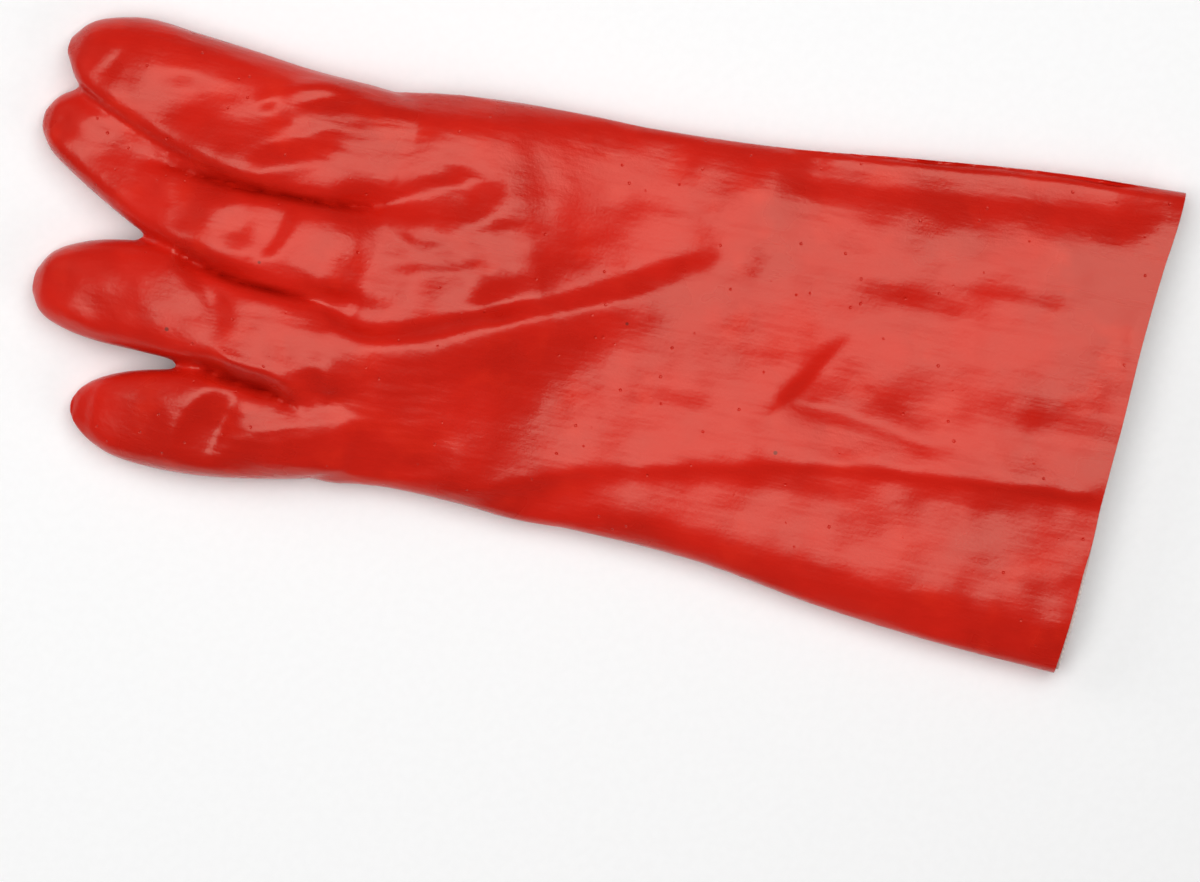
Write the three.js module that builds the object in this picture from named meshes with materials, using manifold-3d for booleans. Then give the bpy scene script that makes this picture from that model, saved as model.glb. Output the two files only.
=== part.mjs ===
// A PVC coated gauntlet glove for the left hand, lying on its palm side with the thumb folded under.
// Millimetres, +Z up. The cuff is at +X, the fingers point to -X and the index side is +Y.
// The origin is at the middle of the outline, on the surface that the glove lies on.

import * as THREE from 'three';
import { mergeVertices } from 'three/addons/utils/BufferGeometryUtils.js';
import Module from 'manifold-3d';

// Driving dimensions
const gauntletLength = 160;
const palmLength = 90;
const indexLength = 96.5;
const middleLength = 100;
const ringLength = 93;
const littleLength = 74;
const thumbLength = 117;
const handWidth = 128;
const cuffWidth = 156;
const cuffSlant = 5.8;
const gauntletHeight = 22;
const palmHeight = 19;
const fingerHeight = 17;
const thumbWidth = 42;
const thumbHeight = 10;
const thumbAngle = 22.4;
const thumbClearance = 0.6;
const coatingThickness = 1.3;
const liningThickness = 1;
const liningClearance = 0.3;
const liningDepth = 62;
const webDepth = 5;
const mouthRun = 8;

// The flattened tubes' section: the height of the sides as a share of the tube's height, how square the
// upper and under sides are, and how fast they round off at the sides
const sideShare = 0.42;
const squareOver = 3;
const squareUnder = 6;
const roundOff = 0.45;
const underFlat = 1.12;
const leastCrown = 0.18;

// Sizes that follow from them
const halfHand = handWidth / 2;
const cuffFlare = (cuffWidth - handWidth) / 2;
const fingerRoot = gauntletLength + palmLength;
const overallLength = fingerRoot + middleLength + cuffSlant;
const cuffToOrigin = overallLength / 2 - cuffSlant;
const propFade = 0.42 * handWidth;

// The share of a finger's length over which it rolls onto the next one
const rollStart = 0.25;

// Fineness of the facets
const gauntletStep = 11;
const palmStep = 5.2;
const fingerStep = 8;
const bodyFacets = { over: 23, under: 7 };
const fingerFacets = { over: 11, under: 6 };
const tipCrowding = 1.35;
const weldTolerance = 0.01;

// The gauntlet and the palm, a row for each section. At counts 0 at the cuff, 1 at the wrist and 2 at
// the finger roots. Index and little are the two sides, as shares of half the hand's width, flare is
// the share of the cuff's flare, and over is the thickness as a share of the local height.
const bodyRows = [
  { at: 0.00, index: 0.984, little: -1.016, flare: 1.00, over: 0.90 },
  { at: 0.25, index: 0.992, little: -1.023, flare: 0.82, over: 0.90 },
  { at: 0.50, index: 0.997, little: -1.031, flare: 0.50, over: 0.92 },
  { at: 0.75, index: 0.998, little: -1.014, flare: 0.15, over: 0.96 },
  { at: 1.00, index: 0.994, little: -1.016, flare: 0.00, over: 1.00 },
  { at: 1.22, index: 0.995, little: -1.023, flare: 0.00, over: 1.02 },
  { at: 1.44, index: 0.989, little: -1.000, flare: 0.00, over: 1.03 },
  { at: 1.67, index: 0.969, little: -0.992, flare: 0.00, over: 1.00 },
  { at: 1.78, index: 0.950, little: -1.005, flare: 0.00, over: 0.96 },
  { at: 1.89, index: 0.925, little: -1.025, flare: 0.00, over: 0.86 },
  { at: 1.97, index: 0.900, little: -1.010, flare: 0.00, over: 0.68 },
  { at: 2.02, index: 0.840, little: -0.940, flare: 0.00, over: 0.44 },
];

const palmEnd = bodyRows[bodyRows.length - 1].at;

// The fingers, a row for each section. At is the share of the finger's length from its root, far and
// near are its two sides as shares of half the hand's width, and over is the share of its height.
// Roll is how far the near side is raised onto the next finger, as a share of the height.
const fingers = [
  {
    length: indexLength,
    roll: 0.30,
    rows: [
      { at: -0.16, far: 0.900, near: 0.330, over: 0.80 },
      { at: 0.00, far: 0.925, near: 0.310, over: 0.94 },
      { at: 0.20, far: 0.942, near: 0.292, over: 1.00 },
      { at: 0.40, far: 0.978, near: 0.312, over: 1.02 },
      { at: 0.60, far: 1.010, near: 0.400, over: 1.00 },
      { at: 0.76, far: 1.032, near: 0.492, over: 0.96 },
      { at: 0.88, far: 1.000, near: 0.580, over: 0.88 },
      { at: 0.95, far: 0.952, near: 0.660, over: 0.74 },
      { at: 1.00, far: 0.870, near: 0.790, over: 0.44 },
    ],
  },
  {
    length: middleLength,
    roll: 0.06,
    rows: [
      { at: -0.16, far: 0.340, near: -0.150, over: 0.80 },
      { at: 0.00, far: 0.345, near: -0.155, over: 0.94 },
      { at: 0.20, far: 0.370, near: -0.155, over: 1.00 },
      { at: 0.40, far: 0.430, near: -0.115, over: 1.00 },
      { at: 0.60, far: 0.520, near: -0.015, over: 0.98 },
      { at: 0.76, far: 0.600, near: 0.110, over: 0.94 },
      { at: 0.88, far: 0.635, near: 0.220, over: 0.86 },
      { at: 0.96, far: 0.580, near: 0.310, over: 0.70 },
      { at: 1.00, far: 0.500, near: 0.400, over: 0.44 },
    ],
  },
  {
    length: ringLength,
    roll: 0.05,
    rows: [
      { at: -0.17, far: -0.160, near: -0.640, over: 0.80 },
      { at: 0.00, far: -0.150, near: -0.640, over: 0.94 },
      { at: 0.20, far: -0.120, near: -0.615, over: 1.00 },
      { at: 0.40, far: -0.080, near: -0.590, over: 1.00 },
      { at: 0.60, far: -0.045, near: -0.578, over: 1.00 },
      { at: 0.76, far: -0.066, near: -0.568, over: 0.96 },
      { at: 0.88, far: -0.118, near: -0.536, over: 0.88 },
      { at: 0.96, far: -0.190, near: -0.480, over: 0.72 },
      { at: 1.00, far: -0.285, near: -0.390, over: 0.44 },
    ],
  },
  {
    length: littleLength,
    roll: 0.00,
    rows: [
      { at: -0.20, far: -0.620, near: -0.980, over: 0.80 },
      { at: 0.00, far: -0.600, near: -1.040, over: 0.90 },
      { at: 0.20, far: -0.580, near: -1.085, over: 0.92 },
      { at: 0.40, far: -0.585, near: -1.118, over: 0.92 },
      { at: 0.60, far: -0.632, near: -1.125, over: 0.92 },
      { at: 0.78, far: -0.684, near: -1.105, over: 0.88 },
      { at: 0.90, far: -0.745, near: -1.050, over: 0.78 },
      { at: 0.97, far: -0.810, near: -0.985, over: 0.62 },
      { at: 1.00, far: -0.870, near: -0.930, over: 0.42 },
    ],
  },
];

// The thumb, which lies under the palm. Its root is given as at and side, like a fold's points, and
// far and near are shares of the thumb's width. It props up the palm from propStart to propEnd of its
// length, fully over propHalf of its width to each side.
const thumb = {
  at: 1.18,
  side: 0.41,
  propStart: 0.47,
  propEnd: 0.86,
  propHalf: 0.44,
  rows: [
    { at: 0.00, far: 0.44, near: -0.44, over: 0.90 },
    { at: 0.20, far: 0.50, near: -0.50, over: 1.00 },
    { at: 0.45, far: 0.49, near: -0.49, over: 1.00 },
    { at: 0.70, far: 0.44, near: -0.44, over: 0.98 },
    { at: 0.86, far: 0.39, near: -0.39, over: 0.92 },
    { at: 0.95, far: 0.29, near: -0.29, over: 0.76 },
    { at: 1.00, far: 0.12, near: -0.12, over: 0.46 },
  ],
};

// The folds and dents of the upper side, a row for each. Points run along the fold as at and side: at
// counts 0 at the cuff, 1 at the wrist, 2 at the finger roots and 3 at the middle fingertip, and side
// is a share of half the hand's width. Reach is its half width and rise its height, as shares of the
// palm's height, with a negative rise for a valley.
const folds = [
  {
    rise: -0.24,
    reach: 0.40,
    points: [[2.10, 0.32], [1.95, 0.33], [1.76, 0.44], [1.60, 0.55], [1.46, 0.57]],
  },
  { rise: -0.22, reach: 0.40, points: [[2.34, 0.45], [2.25, 0.53], [2.16, 0.62], [2.06, 0.67]] },
  { rise: -0.18, reach: 0.44, points: [[2.32, 0.70], [2.26, 0.66]] },
  { rise: -0.14, reach: 0.40, points: [[2.66, 0.72], [2.52, 0.70]] },
  { rise: -0.12, reach: 0.36, points: [[2.77, 0.86], [2.85, 0.66]] },
  { rise: -0.20, reach: 0.50, points: [[2.33, 0.06], [2.26, 0.16]] },
  { rise: -0.12, reach: 0.40, points: [[2.54, 0.05], [2.40, 0.17], [2.34, 0.21]] },
  { rise: 0.12, reach: 0.36, points: [[2.58, 0.26], [2.48, 0.33], [2.40, 0.31]] },
  { rise: -0.18, reach: 0.36, points: [[1.89, 0.25], [1.76, 0.17], [1.67, 0.22]] },
  { rise: -0.16, reach: 0.36, points: [[1.82, 0.06], [1.69, 0.06], [1.51, 0.14]] },
  {
    rise: 0.14,
    reach: 0.40,
    points: [[2.12, 0.00], [1.94, -0.08], [1.69, -0.06], [1.50, 0.09], [1.34, 0.19]],
  },
  {
    rise: -0.30,
    reach: 0.42,
    points: [[2.00, -0.18], [1.85, -0.25], [1.69, -0.17], [1.39, -0.03], [1.12, 0.20], [0.90, 0.42]],
  },
  {
    rise: 0.18,
    reach: 0.40,
    points: [[2.02, -0.24], [1.84, -0.36], [1.65, -0.30], [1.34, -0.12], [1.02, 0.09]],
  },
  { rise: -0.24, reach: 0.40, points: [[2.50, -0.08], [2.38, -0.19], [2.31, -0.43]] },
  { rise: 0.16, reach: 0.36, points: [[2.31, -0.44], [2.25, -0.55], [2.12, -0.55], [2.00, -0.67]] },
  { rise: -0.16, reach: 0.34, points: [[2.34, -0.76], [2.37, -0.91]] },
  { rise: 0.12, reach: 0.40, points: [[2.23, -0.98], [2.13, -0.84], [1.88, -0.74]] },
  {
    rise: 0.22,
    reach: 0.42,
    points: [[1.50, -0.97], [1.17, -0.78], [0.94, -0.66], [0.62, -0.49], [0.31, -0.39], [0.02, -0.35]],
  },
  { rise: -0.10, reach: 0.50, points: [[1.30, -0.82], [0.94, -0.80], [0.75, -0.68], [0.50, -0.64]] },
  { rise: -0.04, reach: 0.44, points: [[0.54, 0.17], [0.58, 0.04], [0.61, -0.10], [0.67, -0.28]] },
  { rise: -0.05, reach: 0.80, points: [[0.38, 0.35], [0.53, 0.36]] },
  { rise: -0.12, reach: 0.70, points: [[0.10, 0.98], [0.40, 0.88], [0.60, 0.88]] },
];

// Where a fold's point or a section lies along the glove, counted from the cuff towards the fingers.
const lengthwise = (at) => {
  if (at <= 1) return at * gauntletLength;
  if (at <= 2) return gauntletLength + (at - 1) * palmLength;
  return fingerRoot + (at - 2) * middleLength;
};

// A point of the plan from at and side.
const planPoint = (at, side) => new THREE.Vector2(cuffToOrigin - lengthwise(at), side * halfHand);

const clamp01 = (value) => THREE.MathUtils.clamp(value, 0, 1);

// A smooth curve through one column of a table.
const column = (rows, name, at) => {
  const last = rows.length - 1;
  let i = 0;
  while (i < last - 1 && at > rows[i + 1].at) i += 1;
  const before = rows[Math.max(i - 1, 0)];
  const start = rows[i];
  const end = rows[i + 1];
  const after = rows[Math.min(i + 2, last)];
  const gap = end.at - start.at;
  const t = clamp01((at - start.at) / gap);
  const startSlope = (end[name] - before[name]) / Math.max(end.at - before.at, gap) * gap;
  const endSlope = (after[name] - start[name]) / Math.max(after.at - start.at, gap) * gap;
  const t2 = t * t;
  const t3 = t2 * t;
  return start[name] * (2 * t3 - 3 * t2 + 1) + startSlope * (t3 - 2 * t2 + t)
    + end[name] * (3 * t2 - 2 * t3) + endSlope * (t3 - t2);
};

// The distance from a point to a line through chosen points.
const distanceToLine = (point, line) => {
  let best = Infinity;
  for (let i = 0; i + 1 < line.length; i += 1) {
    const span = line[i + 1].clone().sub(line[i]);
    const t = clamp01(point.clone().sub(line[i]).dot(span) / span.lengthSq());
    best = Math.min(best, point.distanceTo(line[i].clone().addScaledVector(span, t)));
  }
  return best;
};

// How fast a fold falls away at its sides.
const foldFall = 1.4;

const foldLines = folds.map((fold) => ({
  line: fold.points.map(([at, side]) => planPoint(at, side)),
  rise: fold.rise * palmHeight,
  reach: fold.reach * palmHeight,
}));

// The height that the folds and dents add to the upper side at a point of the plan.
const relief = (point) => {
  let height = 0;
  for (const { line, rise, reach } of foldLines) {
    const share = distanceToLine(point, line) / reach;
    if (share < 2) height += rise * Math.exp(-share * share * foldFall);
  }
  return height;
};

const thumbRoot = planPoint(thumb.at, thumb.side);
const thumbTurn = THREE.MathUtils.degToRad(thumbAngle);
const thumbAlong = new THREE.Vector2(-Math.cos(thumbTurn), -Math.sin(thumbTurn));
const thumbAcross = new THREE.Vector2(-Math.sin(thumbTurn), Math.cos(thumbTurn));
const thumbPoint = (distance, side) => thumbRoot.clone()
  .addScaledVector(thumbAlong, distance)
  .addScaledVector(thumbAcross, side);
const propLine = [thumb.propStart, thumb.propEnd].map((at) => thumbPoint(at * thumbLength, 0));

// How far the thumb under the palm props the glove up at a point of the plan.
const prop = (point) => {
  const beyond = distanceToLine(point, propLine) - thumb.propHalf * thumbWidth;
  return (thumbHeight + thumbClearance) * THREE.MathUtils.smoothstep(1 - beyond / propFade, 0, 1);
};

// How full a flattened tube is across its width, from 1 in the middle to 0 at the sides.
const fullness = (share, squareness) => (1 - Math.abs(share) ** squareness) ** roundOff;

// One section of a flattened tube, as a ring of points: over the top, then back along the underside.
// The sides meet at the edge height, and the underside is flat where it lies on the surface.
const ring = (place, near, far, height, roll, inset, propped, facets) => {
  const middle = (near + far) / 2;
  const half = (far - near) / 2 - inset;
  const edge = sideShare * height;
  const points = [];
  const add = (turn, upper) => {
    const share = -Math.cos(turn);
    const plan = place(middle + share * half);
    const lift = (propped ? prop(plan) : 0) + roll * (1 - share) / 2;
    const wall = inset * fullness(share, squareUnder);
    const crown = (height - edge) * fullness(share, squareOver) - wall;
    const folded = propped ? relief(plan) * fullness(share, squareOver) : 0;
    const belly = edge * underFlat * fullness(share, squareUnder) - wall;
    const top = edge + Math.max(crown + folded, leastCrown * crown);
    const under = Math.max(edge - belly, wall);
    points.push(new THREE.Vector3(plan.x, plan.y, lift + (upper ? top : under)));
  };
  for (let i = 0; i <= facets.over; i += 1) add(Math.PI * i / facets.over, true);
  for (let i = facets.under - 1; i > 0; i -= 1) add(Math.PI * i / facets.under, false);
  return points;
};

// The triangles that close a ring, turned like the ring itself.
const capFaces = (points) => {
  const span = points.reduce((far, point) => {
    const reach = point.clone().sub(points[0]);
    return reach.length() > far.length() ? reach : far;
  }, new THREE.Vector3());
  const flat = points.map((point) => new THREE.Vector2(point.clone().sub(points[0]).dot(span), point.z));
  const turned = Math.sign(THREE.ShapeUtils.area(flat));
  return THREE.ShapeUtils.triangulateShape(flat, []).map((face) => {
    const side = THREE.ShapeUtils.area(face.map((corner) => flat[corner]));
    return Math.sign(side) === turned ? face : [...face].reverse();
  });
};

// A closed mesh through a row of rings.
const loft = (rings) => {
  const count = rings[0].length;
  const positions = rings.flat().flatMap((point) => point.toArray());
  const index = [];
  for (let r = 0; r + 1 < rings.length; r += 1) {
    for (let i = 0; i < count; i += 1) {
      const a = r * count + i;
      const b = r * count + (i + 1) % count;
      index.push(a, b, a + count, b, b + count, a + count);
    }
  }
  const last = rings.length - 1;
  for (const face of capFaces(rings[0])) index.push(...[...face].reverse());
  for (const face of capFaces(rings[last])) index.push(...face.map((corner) => last * count + corner));
  const geometry = new THREE.BufferGeometry();
  geometry.setAttribute('position', new THREE.Float32BufferAttribute(positions, 3));
  geometry.setIndex(index);
  return geometry;
};

// Evenly spaced places from start to end, both ends included.
const evenly = (start, end, step) => {
  const count = Math.max(1, Math.round((end - start) / step));
  return Array.from({ length: count + 1 }, (_, i) => start + (end - start) * i / count);
};

// Places along a finger, closer together towards its rounded tip.
const towardsTip = (start, step) => evenly(0, 1, step).map((t) => 1 + (start - 1) * (1 - t) ** tipCrowding);

// The places of the gauntlet's and palm's sections, the same for every wall, so that walls stay even.
const bodyGrid = [
  ...evenly(0, gauntletLength, gauntletStep),
  ...evenly(gauntletLength, fingerRoot, palmStep).slice(1),
];

// The gauntlet and palm from one section to another, inset by a wall. The cuff edge runs aslant.
const bodyTube = (start, end, inset) => {
  const first = lengthwise(start);
  const last = lengthwise(end);
  const within = bodyGrid.filter((distance) => distance > first + 1 && distance < last - 1);
  const rings = [first, ...within, last].map((distance) => {
    const at = distance <= gauntletLength
      ? distance / gauntletLength
      : 1 + (distance - gauntletLength) / palmLength;
    const row = (name) => column(bodyRows, name, THREE.MathUtils.clamp(at, 0, palmEnd));
    const flare = row('flare') * cuffFlare;
    const far = row('index') * halfHand + flare;
    const near = row('little') * halfHand - flare;
    const local = THREE.MathUtils.lerp(gauntletHeight, palmHeight, clamp01(at));
    const slant = cuffSlant * Math.max(1 - at, 0) / (cuffWidth / 2);
    const place = (y) => new THREE.Vector2(cuffToOrigin - distance + slant * y, y);
    return ring(place, near, far, row('over') * local, 0, inset, true, bodyFacets);
  });
  return loft(rings);
};

// A finger from inside the palm to its tip, inset by a wall.
const fingerTube = ({ length, roll, rows }, inset) => {
  const rings = towardsTip(rows[0].at, fingerStep / length).map((at) => {
    const x = cuffToOrigin - fingerRoot - at * (length - inset);
    const place = (y) => new THREE.Vector2(x, y);
    const row = (name) => column(rows, name, at);
    const height = row('over') * fingerHeight;
    const raised = roll * fingerHeight * clamp01(at / rollStart);
    return ring(place, row('near') * halfHand, row('far') * halfHand,
      height, raised, inset, true, fingerFacets);
  });
  return loft(rings);
};

// The thumb from inside the palm to its tip, inset by a wall.
const thumbTube = (inset) => {
  const rings = towardsTip(0, fingerStep / thumbLength).map((at) => {
    const distance = inset + at * (thumbLength - 2 * inset);
    const place = (side) => thumbPoint(distance, side);
    const row = (name) => column(thumb.rows, name, at);
    return ring(place, row('near') * thumbWidth, row('far') * thumbWidth,
      row('over') * thumbHeight, 0, inset, false, fingerFacets);
  });
  return loft(rings);
};

// Solids are joined and cut here. Lofts have their shared vertices merged already.
const wasm = await Module();
wasm.setup();

const toSolid = (geometry) => new wasm.Manifold(new wasm.Mesh({
  numProp: 3,
  vertProperties: new Float32Array(geometry.getAttribute('position').array),
  triVerts: new Uint32Array(geometry.getIndex().array),
}));

const toGeometry = (solid) => {
  const { vertProperties, triVerts } = solid.getMesh();
  const geometry = new THREE.BufferGeometry();
  geometry.setAttribute('position', new THREE.BufferAttribute(vertProperties, 3));
  geometry.setIndex(new THREE.BufferAttribute(triVerts, 1));
  return geometry;
};

// The largest body of a solid, without the slivers that a cut leaves where two walls meet. The solid
// is made again from its mesh first, because a sliver may hang on by one edge.
const largestBody = (solid) => {
  const bodies = toSolid(mergeVertices(toGeometry(solid), weldTolerance)).decompose();
  return bodies.reduce((best, body) => (body.volume() > best.volume() ? body : best));
};

// The whole hand as one solid, inset by a wall. The inside runs out through the cuff.
const handSolid = (inset) => {
  const start = inset > 0 ? -mouthRun / gauntletLength : 0;
  const end = inset > 0 ? palmEnd - webDepth / palmLength : palmEnd;
  let solid = toSolid(bodyTube(start, end, inset));
  for (const finger of fingers) solid = solid.add(toSolid(fingerTube(finger, inset)));
  return largestBody(solid.add(toSolid(thumbTube(inset))));
};

const material = (color, roughness) => new THREE.MeshStandardMaterial({ color, roughness, metalness: 0 });

// The coating: one seamless dipped skin, open at the cuff.
const shell = () => {
  const solid = largestBody(handSolid(0).subtract(handSolid(coatingThickness)));
  const mesh = new THREE.Mesh(toGeometry(solid), material(0xc4281e, 0.3));
  mesh.name = 'shell';
  return mesh;
};

// The cotton lining, a sleeve that shows at the cut edge of the cuff and inside its mouth.
const liner = () => {
  const outside = coatingThickness + liningClearance;
  const inside = outside + liningThickness;
  const end = liningDepth / gauntletLength;
  const outer = toSolid(bodyTube(0, end, outside));
  const inner = toSolid(bodyTube(-mouthRun / gauntletLength, end + mouthRun / gauntletLength, inside));
  const mesh = new THREE.Mesh(toGeometry(outer.subtract(inner)), material(0xe9ded6, 0.95));
  mesh.name = 'liner';
  return mesh;
};

// The glove is laid with the middle of its outline over the origin.
const laid = new THREE.Group();
laid.add(shell(), liner());
const centre = new THREE.Box3().setFromObject(laid).getCenter(new THREE.Vector3());
laid.position.set(-centre.x, -centre.y, 0);

const glove = new THREE.Group();
glove.add(laid);

export default glove;
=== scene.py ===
import math

import bpy
import numpy as np
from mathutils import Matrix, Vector


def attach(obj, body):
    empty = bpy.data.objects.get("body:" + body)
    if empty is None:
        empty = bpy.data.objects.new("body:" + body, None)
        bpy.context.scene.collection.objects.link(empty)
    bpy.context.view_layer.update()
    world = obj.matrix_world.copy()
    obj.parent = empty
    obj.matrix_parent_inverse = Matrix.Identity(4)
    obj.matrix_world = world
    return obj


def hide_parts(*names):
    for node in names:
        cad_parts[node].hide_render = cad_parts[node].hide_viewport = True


bl_info = {
    "name": "Dipped gauntlet glove",
    "version": (1, 0, 0),
    "blender": (4, 5, 0),
    "location": "3D View > Sidebar > Glove",
    "description": "A left-hand dipped gauntlet glove that lies palm down, with its cotton lining",
    "category": "Add Mesh",
}

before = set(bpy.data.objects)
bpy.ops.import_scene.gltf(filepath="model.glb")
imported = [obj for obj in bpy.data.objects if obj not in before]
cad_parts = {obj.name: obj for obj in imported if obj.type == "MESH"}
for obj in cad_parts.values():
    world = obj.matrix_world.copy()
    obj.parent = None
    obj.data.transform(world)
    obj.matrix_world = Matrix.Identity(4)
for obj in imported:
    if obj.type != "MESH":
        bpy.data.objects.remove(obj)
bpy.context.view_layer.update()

MM = 0.001

# Where a point of the tables lies in the frame: x is counted from the middle of the cuff towards the
# fingers, y towards the index side. Both are in millimetres.
CUFF_X = 172.14
SIDE_Y = 1.02

# The gauntlet and palm: at (0 cuff, 1 wrist, 2 finger roots), the index and little sides as shares of
# half the hand's width, the share of the cuff's flare, and the share of the local height.
BODY = np.array([
    [0.00, 0.984, -1.016, 1.00, 0.90],
    [0.25, 0.992, -1.023, 0.82, 0.90],
    [0.50, 0.997, -1.031, 0.50, 0.92],
    [0.75, 0.998, -1.014, 0.15, 0.96],
    [1.00, 0.994, -1.016, 0.00, 1.00],
    [1.22, 0.995, -1.023, 0.00, 1.02],
    [1.44, 0.989, -1.000, 0.00, 1.03],
    [1.67, 0.969, -0.992, 0.00, 1.00],
    [1.78, 0.950, -1.005, 0.00, 0.96],
    [1.89, 0.925, -1.025, 0.00, 0.86],
    [1.97, 0.900, -1.010, 0.00, 0.68],
    [2.02, 0.840, -0.940, 0.00, 0.44],
])

# Each finger: its length, and how far its near side, the one towards the little finger, is raised as a
# share of the fingers' height. Then its sections: at as a share of the length, the far and near sides
# as shares of half the hand's width, and the share of the fingers' height.
FINGERS = {
    "index": (96.5, 0.30, np.array([
        [-0.16, 0.900, 0.330, 0.94],
        [0.00, 0.925, 0.310, 0.98],
        [0.20, 0.942, 0.292, 1.00],
        [0.40, 0.978, 0.312, 1.02],
        [0.60, 1.010, 0.400, 1.00],
        [0.76, 1.032, 0.492, 0.96],
        [0.88, 1.000, 0.580, 0.88],
        [0.95, 0.952, 0.660, 0.74],
        [1.00, 0.870, 0.790, 0.44],
    ])),
    "middle": (100.0, 0.06, np.array([
        [-0.16, 0.340, -0.150, 1.11],
        [0.00, 0.345, -0.155, 1.07],
        [0.20, 0.370, -0.155, 1.02],
        [0.40, 0.430, -0.115, 1.00],
        [0.60, 0.520, -0.015, 0.98],
        [0.76, 0.600, 0.110, 0.94],
        [0.88, 0.635, 0.220, 0.86],
        [0.96, 0.580, 0.310, 0.70],
        [1.00, 0.500, 0.400, 0.44],
    ])),
    "ring": (93.0, 0.05, np.array([
        [-0.17, -0.160, -0.640, 1.08],
        [0.00, -0.150, -0.640, 1.04],
        [0.20, -0.120, -0.615, 1.02],
        [0.40, -0.080, -0.590, 1.00],
        [0.60, -0.045, -0.578, 1.00],
        [0.76, -0.066, -0.568, 0.96],
        [0.88, -0.118, -0.536, 0.88],
        [0.96, -0.190, -0.480, 0.72],
        [1.00, -0.285, -0.390, 0.44],
    ])),
    "little": (74.0, 0.00, np.array([
        [-0.20, -0.620, -0.980, 0.92],
        [0.00, -0.600, -1.040, 0.92],
        [0.20, -0.580, -1.085, 0.92],
        [0.40, -0.585, -1.118, 0.92],
        [0.60, -0.632, -1.125, 0.92],
        [0.78, -0.684, -1.105, 0.88],
        [0.90, -0.745, -1.050, 0.78],
        [0.97, -0.810, -0.985, 0.62],
        [1.00, -0.870, -0.930, 0.42],
    ])),
}

# The thumb under the palm: at as a share of its length, half its width and its height as shares.
THUMB = np.array([
    [0.00, 0.44, 0.90],
    [0.20, 0.50, 1.00],
    [0.45, 0.49, 1.00],
    [0.70, 0.44, 0.98],
    [0.86, 0.39, 0.92],
    [0.95, 0.29, 0.76],
    [1.00, 0.12, 0.46],
])

# The flat sizes in mm. A section's height in the tables is a share of the height given here.
GAUNTLET_LENGTH = 160.0
PALM_LENGTH = 90.0
HALF_HAND = 64.0
CUFF_WIDTH = 156.0
CUFF_FLARE = 14.0
CUFF_SLANT = 5.8
GAUNTLET_HEIGHT = 22.0
PALM_HEIGHT = 19.0
FINGER_HEIGHT = 17.0
WALL = 1.3

# The thumb, folded under the palm: its sizes, how far it is pressed up into the palm, the turn of its
# middle line, and where that starts.
THUMB_LENGTH = 117.0
THUMB_WIDTH = 42.0
THUMB_HEIGHT = 10.0
THUMB_PRESS = 1.2
THUMB_ANGLE = math.radians(22.4)
THUMB_ROOT = (176.2, 26.24)

# How the thumb props the hand up: from and to which share of its length, within which share of its
# width to each side in full, how far, and over what distance in mm that dies away.
PROP_START = 0.47
PROP_END = 0.86
PROP_HALF = 0.44
PROP_RISE = 10.6
PROP_FADE = 53.8

# The section: how high the sides meet as a share of the height, how square the upper and under sides
# are, the power that rounds them off, and how much deeper than the sides the under side would reach
# if the floor did not flatten it.
SIDE_SHARE = 0.42
SQUARE_OVER = 3.0
SQUARE_FINGER = 3.8
SQUARE_UNDER = 6.0
ROUND_OFF = 0.45
UNDER_FLAT = 1.12

# The rings of a tube: points over the top and underneath, how many rings a finger or the thumb has, the
# power that crowds them towards the tip, and their spacing in mm along the gauntlet, palm and lining.
BODY_POINTS = (90, 44)
FINGER_POINTS = (64, 40)
THUMB_POINTS = (48, 32)
TIP_RINGS = 64
TIP_CROWDING = 1.35
BODY_STEP = 2.0
LINING_STEP = 2.5

# The share of its length over which a finger's raised side comes up.
ROLL_START = 0.25

# The outer tube and the hollow start this far outside the cuff in mm, and the hollow ends at this
# share of the palm.
OUTER_SPARE = 9.0
HOLLOW_SPARE = 16.0
HOLLOW_END = 0.92

# How often and how strongly the skin is smoothed, before the folds and after them, and how much of each
# pass the next one takes back.
SKIN_PASSES = (10, 0.5)
LAST_PASSES = (2, 0.35)
TAKEN_BACK = 1.04

# The band across the finger roots in which the skin is evened out, how softly the band starts and ends
# in mm, and how many times.
ROOT_BAND = (208.0, 280.0)
ROOT_EDGE = 14.0
ROOT_PASSES = 70

# Where a face counts as facing up: the z of its normal at which that starts, and how much more it takes
# to count in full.
ROOT_FACING = (0.35, 0.40)
FOLD_FACING = (0.12, 0.45)

# The turn from face to face above which an edge stays sharp.
SHARP_ANGLE = math.radians(50)

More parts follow.
